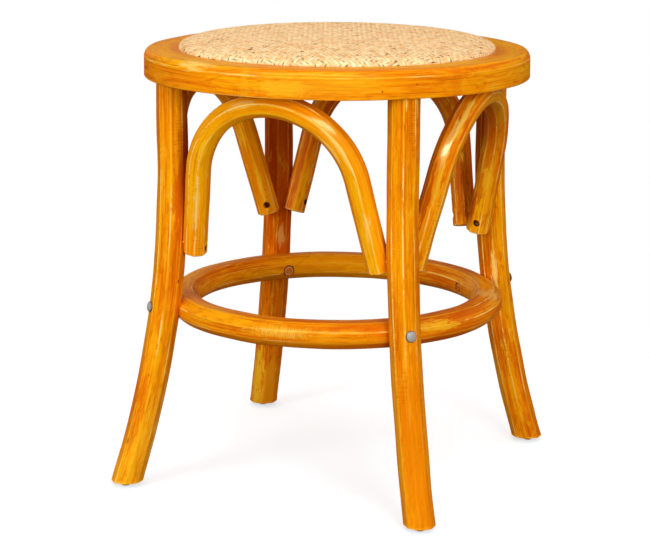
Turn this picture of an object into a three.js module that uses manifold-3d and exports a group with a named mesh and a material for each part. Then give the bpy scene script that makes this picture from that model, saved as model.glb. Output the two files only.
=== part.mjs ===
import * as THREE from 'three';
import { mergeVertices } from 'three/addons/utils/BufferGeometryUtils.js';
import Module from 'manifold-3d';

// A round bentwood stool with a padded seat under woven rattan: a bent rim, four sabre legs,
// four bent arch braces and a stretcher ring, held by bolts and screws. Millimetres, +Z up,
// the floor at z = 0 and the middle of the seat over the origin.

const manifold = await Module();
manifold.setup();

// Overall sizes and fits
const seatHeight = 450; // floor to the top face of the rim
const seatDiameter = 400; // outside of the rim
const fitGap = 0.3; // air between pieces that touch
const cutOverrun = 10; // how far a cutting shape runs past a face
const roundSegments = 72; // steps round the large rings
const padSegments = 40; // steps round the board, the padding and the cover
const hardwareSegments = 12; // steps round a screw, bolt or glide
const tenonSegments = 18;
const roundingSteps = 4; // steps in a rounded edge

// Seat rim
const rimDepth = 28;
const rimFaceWidth = 35; // from the outside to the cane
const rimTopRound = 7;
const rimEdgeRound = 1.5;
const ledgeWidth = 14; // the rebate's ledge, which carries the seat board
const ledgeThickness = 10;

// Legs
const legAcross = 30; // across the flats of the eight-sided section
const legInset = 6; // from the outside of the rim to the outside of the leg
const legSweep = 55; // how far the foot stands out past the top of the leg
const legBendHeight = 330; // where the sweep begins
const legSteps = 16;
const tenonDiameter = 18;
const tenonLength = 18;

// Arch braces
const archAcross = 24;
const archTopInset = 40; // from the outside of the rim to the middle of the arch's top
const archEndHeight = 247; // middle of the arm's end
const archEndSetback = 5.5; // how far the arm's end lies inside the line between two legs
const archBendRadius = 88;
const archCheekDepth = 0.5; // how deep the arm is flattened against the leg
const archCrownDepth = 1; // how deep the top is flattened against the rim
const archArmSteps = 4;
const archBendSteps = 16;

// Stretcher ring
const ringNotchDepth = 3; // how deep the ring is notched for a leg
const ringWidth = 34;
const ringThickness = 27;
const ringSideRound = 9; // width of the section's slanted corners
const ringTopRound = 8; // height of the section's slanted corners

// Bolts that join the legs and the ring
const boltHeight = 187.3; // where a bolt crosses the middle of its leg
const boltDiameter = 6;
const boltHeadDiameter = 12;
const boltHeadHeight = 3.5;
const boltEndLength = 1.2; // thread that stands out of the nut
const nutAcross = 10;
const nutThickness = 5;
const washerDiameter = 12;
const washerThickness = 1.2;
const washerHoleDiameter = 6.8;
const nutPocketDiameter = 13.5;
const nutPocketDepth = 8;

// Wood screws
const archScrewDiameter = 4.5;
const archScrewHeadDiameter = 6.5;
const archScrewHeadDepth = 2.8;
const archScrewPocketDiameter = 7.4;
const archEndScrewRise = 11; // from the arm's end to the screw
const archEndScrewTurn = 12 * THREE.MathUtils.DEG2RAD; // away from the line between two legs
const archEndPocketDepth = 7;
const archEndScrewBite = 10; // length in the leg
const archTopPocketDepth = 6;
const archTopScrewBite = 8; // length in the rim
const tenonScrewDiameter = 4;
const tenonScrewHeadDiameter = 7;
const tenonScrewHeadDepth = 2.5;
const tenonScrewBite = 12; // length in the tenon
const boardScrewDiameter = 3.5;
const boardScrewHeadDiameter = 6.5;
const boardScrewHeadDepth = 2.4;
const boardScrewBite = 6; // length in the board
const boardScrewInset = 5; // from the ledge's inner edge to the screw
const boardScrewCount = 4;
const screwTipLength = 3;
const screwSlotWidth = 1.2;
const screwSlotDepth = 1.1;
const pocketRelief = 0.5; // how far a head lies below the face around it

// Seat board, padding and woven cover
const boardThickness = 9;
const caneThickness = 1.6;
const caneHemWidth = 4; // cover turned in under the board
const seatCrown = 14.5; // from the top face of the rim to the top of the seat
const crownFullness = 3.6; // how flat the middle of the crown is
const crownShoulder = 2.3; // how round its shoulder is
const crownRings = 8;

// Foot glides
const glideDiameter = 12;
const glideHeight = 4.7;
const glideFlatDiameter = 6;
const glideNailDiameter = 2.6;
const glideNailLength = 14;

// Derived places
const seatRadius = seatDiameter / 2;
const rimBottom = seatHeight - rimDepth;
const rimInnerRadius = seatRadius - rimFaceWidth;
const ledgeInnerRadius = rimInnerRadius - ledgeWidth;
const ledgeTop = rimBottom + ledgeThickness;
const legTopRadius = seatRadius - legInset - legAcross / 2;
const legTop = rimBottom - fitGap;
const archTopRadius = seatRadius - archTopInset;
const legRadiusAtBolt = legRadiusAt(boltHeight);
const boltTilt = Math.atan(2 * legSweep * (legBendHeight - boltHeight) / legBendHeight ** 2);
const ringOuterRadius = legRadiusAtBolt - legAcross / 2 + ringNotchDepth;
const ringMiddleRadius = ringOuterRadius - ringWidth / 2;
const ringInnerRadius = ringOuterRadius - ringWidth;
const ringHeight = boltHeight - (legRadiusAtBolt - ringMiddleRadius) * Math.tan(boltTilt);
const quarterTurn = Math.PI / 2;
const eighthTurn = Math.PI / 4;
const sideNames = ['front', 'right', 'back', 'left'];
const legNames = ['front_right', 'back_right', 'back_left', 'front_left'];

const wood = new THREE.MeshStandardMaterial({ color: '#e2860f', roughness: 0.42, metalness: 0 });
const plywood = new THREE.MeshStandardMaterial({ color: '#c8a06a', roughness: 0.8, metalness: 0 });
const cane = new THREE.MeshStandardMaterial({ color: '#f3d3a0', roughness: 0.7, metalness: 0 });
const padding = new THREE.MeshStandardMaterial({ color: '#ece4d2', roughness: 0.95, metalness: 0 });
const zinc = new THREE.MeshStandardMaterial({ color: '#b4b8bd', roughness: 0.35, metalness: 1 });
const darkSteel = new THREE.MeshStandardMaterial({ color: '#5b4330', roughness: 0.5, metalness: 0.8 });

function solidOf(geometry) {
  const bare = geometry.clone();
  bare.deleteAttribute('normal');
  bare.deleteAttribute('uv');
  const merged = mergeVertices(bare);
  const mesh = new manifold.Mesh({
    numProp: 3,
    vertProperties: new Float32Array(merged.attributes.position.array),
    triVerts: new Uint32Array(merged.index.array),
  });
  return new manifold.Manifold(mesh);
}

function geometryOf(solid) {
  const mesh = solid.getMesh();
  const geometry = new THREE.BufferGeometry();
  geometry.setAttribute('position', new THREE.BufferAttribute(mesh.vertProperties, 3));
  geometry.setIndex(new THREE.BufferAttribute(mesh.triVerts, 1));
  geometry.computeVertexNormals();
  return geometry;
}

function cutAway(geometry, cutters) {
  const start = solidOf(geometry);
  return geometryOf(cutters.reduce((solid, cutter) => solid.subtract(solidOf(cutter)), start));
}

function joined(first, second) {
  return geometryOf(solidOf(first).add(solidOf(second)));
}

// A profile of [radius, height] points turned round the +Z axis
function turned(profile, segments) {
  const points = profile.map(([radius, height]) => new THREE.Vector2(radius, height));
  return new THREE.LatheGeometry(points, segments).rotateX(quarterTurn);
}

function roundedCorner(middleRadius, middleHeight, size, fromAngle, toAngle) {
  return Array.from({ length: roundingSteps + 1 }, (_, step) => {
    const angle = THREE.MathUtils.lerp(fromAngle, toAngle, step / roundingSteps);
    return [middleRadius + size * Math.cos(angle), middleHeight + size * Math.sin(angle)];
  });
}

function eightSided(across) {
  const corner = across / 2 / Math.cos(eighthTurn / 2);
  const points = Array.from({ length: 8 }, (_, index) => {
    const angle = eighthTurn * (index + 0.5);
    return new THREE.Vector2(corner * Math.cos(angle), corner * Math.sin(angle));
  });
  return new THREE.Shape(points);
}

function swept(path, across, steps) {
  const settings = { extrudePath: path, steps, bevelEnabled: false };
  return new THREE.ExtrudeGeometry(eightSided(across), settings);
}

function slab(fromHeight, toHeight) {
  const slabWidth = 2 * seatDiameter;
  const middle = (fromHeight + toHeight) / 2;
  return new THREE.BoxGeometry(slabWidth, slabWidth, toHeight - fromHeight).translate(0, 0, middle);
}

// A seat is where a fastener sits: the middle of its outer face and the way that face looks
function seatMatrix({ at, facing }) {
  const turn = new THREE.Quaternion().setFromUnitVectors(new THREE.Vector3(0, 0, 1), facing);
  return new THREE.Matrix4().compose(at, turn, new THREE.Vector3(1, 1, 1));
}

function turnedSeat(seat, angle) {
  const axis = new THREE.Vector3(0, 0, 1);
  return {
    at: seat.at.clone().applyAxisAngle(axis, angle),
    facing: seat.facing.clone().applyAxisAngle(axis, angle),
  };
}

// A round hole on the seat's axis, between two depths below its face
function hole(seat, diameter, fromDepth, toDepth, segments = hardwareSegments) {
  const length = toDepth - fromDepth;
  const cylinder = new THREE.CylinderGeometry(diameter / 2, diameter / 2, length, segments);
  cylinder.rotateX(quarterTurn).translate(0, 0, -(fromDepth + toDepth) / 2);
  return cylinder.applyMatrix4(seatMatrix(seat));
}

function meshAt(name, geometry, material, seat) {
  const mesh = new THREE.Mesh(geometry, material);
  mesh.name = name;
  if (seat) {
    mesh.applyMatrix4(seatMatrix(seat));
  }
  return mesh;
}

// A countersunk wood screw that hangs down from its slotted head at z = 0
function woodScrew(diameter, headDiameter, headDepth, length) {
  const profile = [
    [0, -length],
    [diameter / 2, -length + screwTipLength],
    [diameter / 2, -headDepth],
    [headDiameter / 2, -screwSlotDepth / 2],
    [headDiameter / 2, 0],
    [0, 0],
  ];
  const slot = new THREE.BoxGeometry(headDiameter * 2, screwSlotWidth, screwSlotDepth * 2);
  return cutAway(turned(profile, hardwareSegments), [slot]);
}

// Seat rim: a ring with a rounded upper edge and a rebate for the seat
function seatRim() {
  const profile = [
    [ledgeInnerRadius, rimBottom],
    ...roundedCorner(seatRadius - rimEdgeRound, rimBottom + rimEdgeRound, rimEdgeRound, -quarterTurn, 0),
    ...roundedCorner(seatRadius - rimTopRound, seatHeight - rimTopRound, rimTopRound, 0, quarterTurn),
    [rimInnerRadius, seatHeight],
    [rimInnerRadius, ledgeTop],
    [ledgeInnerRadius, ledgeTop],
    [ledgeInnerRadius, rimBottom],
  ];
  const socketDiameter = tenonDiameter + 2 * fitGap;
  const cutters = legAngles.flatMap((angle) => [
    hole(turnedSeat(tenonSeat, angle), socketDiameter, -cutOverrun, tenonLength + fitGap, tenonSegments),
    ...screwHoles(turnedSeat(tenonScrewSeat, angle), tenonScrew),
  ]);
  archAngles.forEach((angle) => cutters.push(...screwHoles(turnedSeat(archTopSeat, angle), archTopScrew)));
  boardScrewSeats.forEach((seat) => cutters.push(...screwHoles(seat, boardScrew)));
  return cutAway(turned(profile, roundSegments), cutters);
}

// Legs: straight from the rim to the bend, then swept out in a parabola to the foot
function legRadiusAt(height) {
  const drop = Math.max(legBendHeight - height, 0) / legBendHeight;
  return legTopRadius + legSweep * drop * drop;
}

class LegAxis extends THREE.Curve {
  getPoint(share, target = new THREE.Vector3()) {
    const height = THREE.MathUtils.lerp(rimBottom + cutOverrun, -cutOverrun, share);
    return target.set(legRadiusAt(height), 0, height);
  }
}

function legBody(across) {
  return swept(new LegAxis(), across, legSteps);
}

const tenonSeat = {
  at: new THREE.Vector3(legTopRadius, 0, rimBottom),
  facing: new THREE.Vector3(0, 0, -1),
};
const legAngles = legNames.map((_, index) => (index - 0.5) * quarterTurn);
const archAngles = sideNames.map((_, index) => (index - 2) * quarterTurn);

function fittedLeg() {
  const tenonHeight = legTop - cutOverrun + (tenonLength + cutOverrun) / 2;
  const tenonRadius = tenonDiameter / 2;
  const tenon = new THREE.CylinderGeometry(tenonRadius, tenonRadius, tenonLength + cutOverrun, tenonSegments);
  tenon.rotateX(quarterTurn).translate(legTopRadius, 0, tenonHeight);
  const trims = [slab(legTop, legTop + 3 * cutOverrun), slab(-3 * cutOverrun, glideHeight + fitGap)];
  const trimmed = cutAway(legBody(legAcross), trims);
  return cutAway(joined(trimmed, tenon), [
    ...boltHoles(boltSeat),
    ...screwHoles(tenonScrewSeat, tenonScrew),
    ...screwHoles(turnedSeat(archEndSeats[1], -eighthTurn), archEndScrew),
    ...screwHoles(turnedSeat(archEndSeats[0], -3 * eighthTurn), archEndScrew),
    hole(glideSeat, glideNailDiameter + 2 * fitGap, -cutOverrun, glideHeight + glideNailLength + fitGap),
  ]);
}

// Arch braces, each in a plane that leans out towards the rim. Before it is leaned, an arch
// stands on the x axis with its end faces at z = 0 and its top on the z axis.
const legLineAtArchEnd = legRadiusAt(archEndHeight) * Math.cos(eighthTurn);
const archEndReach = legLineAtArchEnd - archEndSetback;
const archTopHalf = (archAcross / 2 / Math.cos(eighthTurn / 2));
const archLean = Math.atan2(archTopRadius - archEndReach, rimBottom - archTopHalf - archEndHeight);
const archTopSupport = archTopHalf * Math.cos(eighthTurn / 2 - archLean);
const archTopHeight = rimBottom - fitGap - archTopSupport + archCrownDepth;
const archRise = (archTopHeight - archEndHeight) / Math.cos(archLean);
const archEndSpan = legLineAtArchEnd - legAcross / 2 - archAcross / 2 + archCheekDepth;
const archMiddleRise = archRise - archBendRadius;
const archSplay = Math.atan2(archEndSpan, archMiddleRise)
  - Math.asin(archBendRadius / Math.hypot(archEndSpan, archMiddleRise));
const archArmLength = Math.sqrt(archEndSpan ** 2 + archMiddleRise ** 2 - archBendRadius ** 2);
const archBendLength = archBendRadius * (Math.PI - 2 * archSplay);
const archLength = 2 * archArmLength + archBendLength;

class ArchAxis extends THREE.Curve {
  getPoint(share, target = new THREE.Vector3()) {
    const along = share * archLength;
    const side = along < archLength / 2 ? -1 : 1;
    const fromEnd = Math.min(along, archLength - along);
    if (fromEnd < archArmLength) {
      const inward = fromEnd * Math.sin(archSplay);
      return target.set(side * (archEndSpan - inward), 0, fromEnd * Math.cos(archSplay));
    }
    const angle = archSplay + (fromEnd - archArmLength) / archBendRadius;
    const reach = archBendRadius * Math.cos(angle);
    return target.set(side * reach, 0, archMiddleRise + archBendRadius * Math.sin(angle));
  }
}

// From the flat arch to its leaning place on the stool's +Y side
function leaned(point) {
  return point.applyAxisAngle(new THREE.Vector3(1, 0, 0), -archLean)
    .add(new THREE.Vector3(0, archEndReach, archEndHeight));
}

const archTopSeat = {
  at: leaned(new THREE.Vector3(0, 0, archRise - archAcross / 2 + archTopPocketDepth)),
  facing: new THREE.Vector3(0, 0, -1).applyAxisAngle(new THREE.Vector3(1, 0, 0), -archLean),
};

function archEndSeat(side) {
  const alongShare = archEndScrewRise / archLength;
  const middle = leaned(new ArchAxis().getPoint(side < 0 ? alongShare : 1 - alongShare));
  const facing = new THREE.Vector3(-side * Math.cos(archEndScrewTurn), -Math.sin(archEndScrewTurn), 0);
  const face = archAcross / 2 - archEndPocketDepth;
  return { at: middle.addScaledVector(facing, face), facing };
}

const archEndSeats = [archEndSeat(-1), archEndSeat(1)];

function archBrace() {
  const path = new ArchAxis();
  const steps = 2 * archArmSteps + archBendSteps;
  const bar = swept(path, archAcross, steps);
  bar.rotateX(-archLean).translate(0, archEndReach, archEndHeight);
  return cutAway(bar, [
    slab(rimBottom - fitGap, rimBottom + 2 * cutOverrun),
    legBody(legAcross + 2 * fitGap).rotateZ(eighthTurn),
    legBody(legAcross + 2 * fitGap).rotateZ(3 * eighthTurn),
    ...screwHoles(archTopSeat, archTopScrew),
    ...archEndSeats.flatMap((seat) => screwHoles(seat, archEndScrew)),
  ]);
}

// Stretcher ring, notched where the legs cross it
function stretcherRing() {
  const bottom = ringHeight - ringThickness / 2;
  const top = ringHeight + ringThickness / 2;
  const profile = [
    [ringInnerRadius + ringSideRound, bottom],
    [ringOuterRadius - ringSideRound, bottom],
    [ringOuterRadius, bottom + ringTopRound],
    [ringOuterRadius, top - ringTopRound],
    [ringOuterRadius - ringSideRound, top],
    [ringInnerRadius + ringSideRound, top],
    [ringInnerRadius, top - ringTopRound],
    [ringInnerRadius, bottom + ringTopRound],
    [ringInnerRadius + ringSideRound, bottom],
  ];
  const cutters = legAngles.flatMap((angle) => [
    legBody(legAcross + 2 * fitGap).rotateZ(angle),
    ...boltHoles(turnedSeat(boltSeat, angle)),
  ]);
  return cutAway(turned(profile, roundSegments), cutters);
}

// Bolts square to the legs, from outside: a domed head, then the washer and nut in a pocket
// in the ring's inner face
const boltSeat = {
  at: new THREE.Vector3(legRadiusAtBolt, 0, boltHeight),
  facing: new THREE.Vector3(Math.cos(boltTilt), 0, Math.sin(boltTilt)),
};
boltSeat.at.addScaledVector(boltSeat.facing, legAcross / 2 + fitGap);
const ringFaceDepth = legAcross / 2 + fitGap + (legRadiusAtBolt - ringInnerRadius) / Math.cos(boltTilt);
const washerDepth = ringFaceDepth - nutPocketDepth + fitGap;
const nutDepth = washerDepth + washerThickness + fitGap;
const boltLength = nutDepth + nutThickness + boltEndLength;

function boltHoles(seat) {
  return [
    hole(seat, boltDiameter + 2 * fitGap, -cutOverrun, boltLength + cutOverrun),
    hole(seat, nutPocketDiameter, ringFaceDepth - nutPocketDepth, ringFaceDepth + cutOverrun),
  ];
}

function ringBolt() {
  const headRadius = boltHeadDiameter / 2;
  const dome = Array.from({ length: roundingSteps + 1 }, (_, step) => {
    const angle = quarterTurn * step / roundingSteps;
    return [headRadius * Math.cos(angle), boltHeadHeight * Math.sin(angle)];
  });
  return turned([[0, -boltLength], [boltDiameter / 2, -boltLength], [boltDiameter / 2, 0], ...dome], hardwareSegments);
}

function ringWasher() {
  const top = -washerDepth;
  const bottom = top - washerThickness;
  const holeRadius = washerHoleDiameter / 2;
  const edge = washerDiameter / 2;
  const profile = [[holeRadius, bottom], [edge, bottom], [edge, top], [holeRadius, top], [holeRadius, bottom]];
  return turned(profile, hardwareSegments);
}

function ringNut() {
  const corner = nutAcross / 2 / Math.cos(Math.PI / 6);
  const blank = new THREE.CylinderGeometry(corner, corner, nutThickness, 6);
  blank.rotateX(quarterTurn).translate(0, 0, -nutDepth - nutThickness / 2);
  const thread = { at: new THREE.Vector3(), facing: new THREE.Vector3(0, 0, 1) };
  const threadHole = hole(thread, boltDiameter + 2 * fitGap, 0, nutDepth + nutThickness + cutOverrun);
  return cutAway(blank, [threadHole]);
}

// Wood screws and the holes that take them
const archEndScrew = {
  diameter: archScrewDiameter,
  headDiameter: archScrewHeadDiameter,
  headDepth: archScrewHeadDepth,
  pocketDiameter: archScrewPocketDiameter,
  length: archAcross - archEndPocketDepth - archCheekDepth + archEndScrewBite,
};
const archTopScrew = {
  ...archEndScrew,
  length: archAcross - archTopPocketDepth - archCrownDepth + archTopScrewBite,
};
const tenonScrew = {
  diameter: tenonScrewDiameter,
  headDiameter: tenonScrewHeadDiameter,
  headDepth: tenonScrewHeadDepth,
  pocketDiameter: tenonScrewHeadDiameter + 2 * fitGap,
  length: legTopRadius - tenonDiameter / 2 - ledgeInnerRadius - pocketRelief + tenonScrewBite,
};
const tenonScrewSeat = {
  at: new THREE.Vector3(ledgeInnerRadius + pocketRelief, 0, rimBottom + ledgeThickness / 2),
  facing: new THREE.Vector3(-1, 0, 0),
};
const boardScrew = {
  diameter: boardScrewDiameter,
  headDiameter: boardScrewHeadDiameter,
  headDepth: boardScrewHeadDepth,
  pocketDiameter: boardScrewHeadDiameter + 2 * fitGap,
  length: ledgeThickness - pocketRelief + caneThickness + 2 * fitGap + boardScrewBite,
};
const boardScrewSeats = Array.from({ length: boardScrewCount }, (_, index) => {
  const seat = {
    at: new THREE.Vector3(ledgeInnerRadius + boardScrewInset, 0, rimBottom + pocketRelief),
    facing: new THREE.Vector3(0, 0, -1),
  };
  return turnedSeat(seat, (index + 0.25) * 2 * Math.PI / boardScrewCount);
});

function screwHoles(seat, screw) {
  return [
    hole(seat, screw.pocketDiameter, -2 * cutOverrun, screw.headDepth + fitGap),
    hole(seat, screw.diameter + 2 * fitGap, 0, screw.length + fitGap),
  ];
}

function screwMesh(name, screw, seat) {
  const geometry = woodScrew(screw.diameter, screw.headDiameter, screw.headDepth, screw.length);
  return meshAt(name, geometry, zinc, seat);
}

// Seat board, padding and cover. The woven cover is stretched over the padding, runs down
// beside the board and turns in under it.
const coverRadius = rimInnerRadius - fitGap;
const coverBottom = ledgeTop + fitGap;
const boardRadius = coverRadius - caneThickness - fitGap;
const boardBottom = coverBottom + caneThickness + fitGap;
const boardTop = boardBottom + boardThickness;

// From the shoulder to the middle of the seat
function crown(edgeRadius, rise) {
  return Array.from({ length: crownRings + 1 }, (_, ring) => {
    const angle = quarterTurn * ring / crownRings;
    const radius = ring < crownRings ? edgeRadius * Math.cos(angle) ** (2 / crownFullness) : 0;
    return [radius, seatHeight + rise * Math.sin(angle) ** (2 / crownShoulder)];
  });
}

function seatBoard() {
  const profile = [[0, boardBottom], [boardRadius, boardBottom], [boardRadius, boardTop], [0, boardTop]];
  return cutAway(turned(profile, padSegments), boardScrewSeats.flatMap((seat) => screwHoles(seat, boardScrew)));
}

function seatPadding() {
  const padBottom = boardTop + fitGap;
  const profile = [[0, padBottom], [boardRadius, padBottom], ...crown(boardRadius, seatCrown - caneThickness - fitGap)];
  return turned(profile, padSegments);
}

function seatCover() {
  const innerRadius = coverRadius - caneThickness;
  const hemTop = coverBottom + caneThickness;
  const profile = [
    ...crown(innerRadius, seatCrown - caneThickness).reverse(),
    [innerRadius, hemTop],
    [innerRadius - caneHemWidth, hemTop],
    [innerRadius - caneHemWidth, coverBottom],
    [coverRadius, coverBottom],
    ...crown(coverRadius, seatCrown),
  ];
  return turned(profile, padSegments);
}

// Foot glides, nailed into the feet
const glideSeat = {
  at: new THREE.Vector3(legRadiusAt(0), 0, 0),
  facing: new THREE.Vector3(0, 0, -1),
};

function footGlide() {
  const flatRadius = glideFlatDiameter / 2;
  const edgeRadius = glideDiameter / 2;
  const edge = Array.from({ length: roundingSteps + 1 }, (_, step) => {
    const angle = quarterTurn * step / roundingSteps;
    const radius = flatRadius + (edgeRadius - flatRadius) * Math.cos(angle);
    return [radius, -glideHeight + glideHeight * Math.sin(angle)];
  });
  const nailRadius = glideNailDiameter / 2;
  const nailEnd = -glideHeight - glideNailLength;
  return turned([
    [0, nailEnd],
    [nailRadius, nailEnd + glideNailDiameter],
    [nailRadius, -glideHeight],
    ...edge,
    [0, 0],
  ], hardwareSegments);
}

const group = new THREE.Group();

const seat = new THREE.Group();
seat.add(meshAt('seat_rim', seatRim(), wood));
seat.add(meshAt('seat_board', seatBoard(), plywood));
seat.add(meshAt('seat_padding', seatPadding(), padding));
seat.add(meshAt('seat_cane_cover', seatCover(), cane));
boardScrewSeats.forEach((place, index) => {
  seat.add(screwMesh(`seat_board_screw_${index + 1}`, boardScrew, place));
});
group.add(seat);

legNames.forEach((name, index) => {
  const corner = new THREE.Group();
  corner.rotation.z = legAngles[index];
  corner.add(meshAt(`leg_${name}`, fittedLeg(), wood));
  corner.add(screwMesh(`tenon_screw_${name}`, tenonScrew, tenonScrewSeat));
  corner.add(meshAt(`ring_bolt_${name}`, ringBolt(), zinc, boltSeat));
  corner.add(meshAt(`ring_washer_${name}`, ringWasher(), darkSteel, boltSeat));
  corner.add(meshAt(`ring_nut_${name}`, ringNut(), darkSteel, boltSeat));
  corner.add(meshAt(`foot_glide_${name}`, footGlide(), zinc, glideSeat));
  group.add(corner);
});

sideNames.forEach((name, index) => {
  const side = new THREE.Group();
  side.rotation.z = archAngles[index];
  side.add(meshAt(`arch_brace_${name}`, archBrace(), wood));
  side.add(screwMesh(`arch_top_screw_${name}`, archTopScrew, archTopSeat));
  ['a', 'b'].forEach((end, which) => {
    side.add(screwMesh(`arch_end_screw_${name}_${end}`, archEndScrew, archEndSeats[which]));
  });
  group.add(side);
});

group.add(meshAt('stretcher_ring', stretcherRing(), wood));

export default group;
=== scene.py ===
import math
from contextlib import contextmanager

import bmesh
import bpy
import numpy as np
from mathutils import Matrix, Vector, noise


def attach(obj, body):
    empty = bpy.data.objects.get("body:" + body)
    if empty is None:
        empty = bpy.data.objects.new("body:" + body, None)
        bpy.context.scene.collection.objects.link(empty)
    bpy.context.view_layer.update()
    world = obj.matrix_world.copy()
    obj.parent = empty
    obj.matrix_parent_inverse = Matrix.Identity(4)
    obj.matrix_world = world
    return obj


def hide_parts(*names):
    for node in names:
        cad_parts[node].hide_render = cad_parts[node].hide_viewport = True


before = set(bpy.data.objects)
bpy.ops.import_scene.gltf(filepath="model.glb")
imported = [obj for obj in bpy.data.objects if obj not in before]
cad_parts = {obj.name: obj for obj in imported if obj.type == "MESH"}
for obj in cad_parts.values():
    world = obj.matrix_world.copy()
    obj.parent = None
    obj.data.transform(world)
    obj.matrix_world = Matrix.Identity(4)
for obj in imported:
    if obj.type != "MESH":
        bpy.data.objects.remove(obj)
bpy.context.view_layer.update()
noise.seed_set(1)  # the same unevenness in every run
print("frame loaded")

mm = 0.001
quarterTurn = math.pi / 2
eighthTurn = math.pi / 4
vertical = np.array([0, 0, 1.0])
sideNames = ["front", "right", "back", "left"]
cornerNames = ["front_right", "back_right", "back_left", "front_left"]
cornerAngles = [(index - 0.5) * quarterTurn for index in range(4)]
sideAngles = [(index - 1) * quarterTurn for index in range(4)]  # 0 is +X

stool = {
    "rimTop": 0.450,
    "rimBottom": 0.422,
    "rimRadius": 0.200,
    "rimInnerRadius": 0.165,
    "ledgeInnerRadius": 0.151,
    "ledgeTop": 0.432,
    "fitGap": 0.0003,
}


# Small helpers for meshes

def axisFrame(angle):
    # outward and sideways directions of a leg or an arch at this angle
    return (np.array([math.cos(angle), math.sin(angle), 0.0]),
            np.array([-math.sin(angle), math.cos(angle), 0.0]))


def newMesh(name, points=(), faces=(), edges=()):
    mesh = bpy.data.meshes.new(name)
    mesh.from_pydata([tuple(p) for p in points], [tuple(e) for e in edges], [tuple(f) for f in faces])
    mesh.update()
    return mesh


def inScene(name, data):
    piece = bpy.data.objects.new(name, data)
    bpy.context.scene.collection.objects.link(piece)
    return piece


@contextmanager
def edited(mesh):
    # the mesh's shape, opened for changes and then written back
    shape = bmesh.new()
    shape.from_mesh(mesh)
    yield shape
    shape.to_mesh(mesh)
    shape.free()


def pointsOf(mesh):
    flat = np.empty(len(mesh.vertices) * 3)
    mesh.vertices.foreach_get("co", flat)
    return flat.reshape(-1, 3)


def flatRadius(points):
    return np.hypot(points[:, 0], points[:, 1])


def setPoints(mesh, points):
    mesh.vertices.foreach_set("co", points.ravel())
    mesh.update()


def setAttribute(mesh, name, values):
    values = np.asarray(values, dtype=np.float32)
    kind, key = ("FLOAT_VECTOR", "vector") if values.ndim == 2 else ("FLOAT", "value")
    old = mesh.attributes.get(name)
    if old:
        mesh.attributes.remove(old)
    mesh.attributes.new(name, kind, "POINT").data.foreach_set(key, values.ravel())


def outwardNormals(mesh):
    with edited(mesh) as shape:
        bmesh.ops.recalc_face_normals(shape, faces=shape.faces)
        if shape.calc_volume(signed=True) < 0:
            bmesh.ops.reverse_faces(shape, faces=shape.faces)


def smoothShade(mesh, sharpAngle=None):
    mesh.polygons.foreach_set("use_smooth", [True] * len(mesh.polygons))
    if sharpAngle is not None:
        mesh.set_sharp_from_angle(angle=math.radians(sharpAngle))
    mesh.update()


def mergeDoubles(mesh, gap):
    with edited(mesh) as shape:
        bmesh.ops.remove_doubles(shape, verts=shape.verts, dist=gap)


def evaluatedMesh(piece):
    depsgraph = bpy.context.evaluated_depsgraph_get()
    return bpy.data.meshes.new_from_object(piece.evaluated_get(depsgraph), depsgraph=depsgraph)


def cylinderMesh(start, direction, radius, length):
    # a closed cylinder from start along direction
    turn = Vector((0, 0, 1)).rotation_difference(Vector(direction).normalized()).to_matrix().to_4x4()
    place = Matrix.Translation(Vector(start)) @ turn @ Matrix.Translation((0, 0, length / 2))
    mesh = newMesh("cutter")
    with edited(mesh) as shape:
        bmesh.ops.create_cone(shape, cap_ends=True, segments=32, radius1=radius, radius2=radius,
                              depth=length, matrix=place)
    return mesh


def turnedMesh(name, profile, steps):
    # a profile of (radius, height) points, turned about Z
    mesh = newMesh(name)
    with edited(mesh) as shape:
        points = [shape.verts.new((r, 0, z)) for r, z in profile]
        edges = [shape.edges.new(pair) for pair in zip(points, points[1:])]
        bmesh.ops.spin(shape, geom=[*points, *edges], cent=(0, 0, 0), axis=(0, 0, 1), angle=2 * math.pi,
                       steps=steps, use_merge=True)
        bmesh.ops.remove_doubles(shape, verts=shape.verts, dist=1e-6)
    outwardNormals(mesh)
    return mesh


def drilled(mesh, cutters):
    # the mesh with the cutters' volumes taken away
    cutterMesh = newMesh("tool")
    with edited(cutterMesh) as shape:
        for cutter in cutters:
            shape.from_mesh(cutter)
    blank, tool = inScene("blank", mesh), inScene("tool", cutterMesh)
    cut = blank.modifiers.new("drill", "BOOLEAN")
    cut.operation = "DIFFERENCE"
    cut.solver = "EXACT"
    cut.use_self = True
    cut.object = tool
    result = evaluatedMesh(blank)
    for piece in (blank, tool):
        bpy.data.meshes.remove(piece.data)
    outwardNormals(result)
    return result


def handMade(points, amount, size, seed):
    # slow, soft unevenness, as of sanding by hand
    shift = Vector((seed * 7.31, seed * 3.17, seed * 5.73))
    return points + amount * np.array([noise.noise_vector(Vector(point) / size + shift) for point in points])


def dress(piece, material, node):
    piece.data.materials.clear()
    piece.data.materials.append(material)
    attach(piece, "root")
    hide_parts(node)
    return piece


# Small helpers for node trees

bench = {"tree": None}  # the tree that is being wired


class Wire:
    # a node's output: sums and products of wires make maths nodes
    def __init__(self, socket):
        self.socket = socket


def wireMaths(method, operation):
    setattr(Wire, method, lambda self, other: maths(operation, self, other))


for method, operation in (("__add__", "ADD"), ("__sub__", "SUBTRACT"), ("__mul__", "MULTIPLY"),
                          ("__truediv__", "DIVIDE"), ("__pow__", "POWER")):
    wireMaths(method, operation)


def addNode(kind, inputs=None, **settings):
    tree = bench["tree"]
    node = tree.nodes.new(kind)
    for key, value in settings.items():
        setattr(node, key, value)
    for key, value in (inputs or {}).items():
        if isinstance(value, Wire):
            tree.links.new(value.socket, node.inputs[key])
        else:
            node.inputs[key].default_value = value
    return node


def wire(kind, inputs=None, output=0, **settings):
    return Wire(addNode(kind, inputs, **settings).outputs[output])


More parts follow.
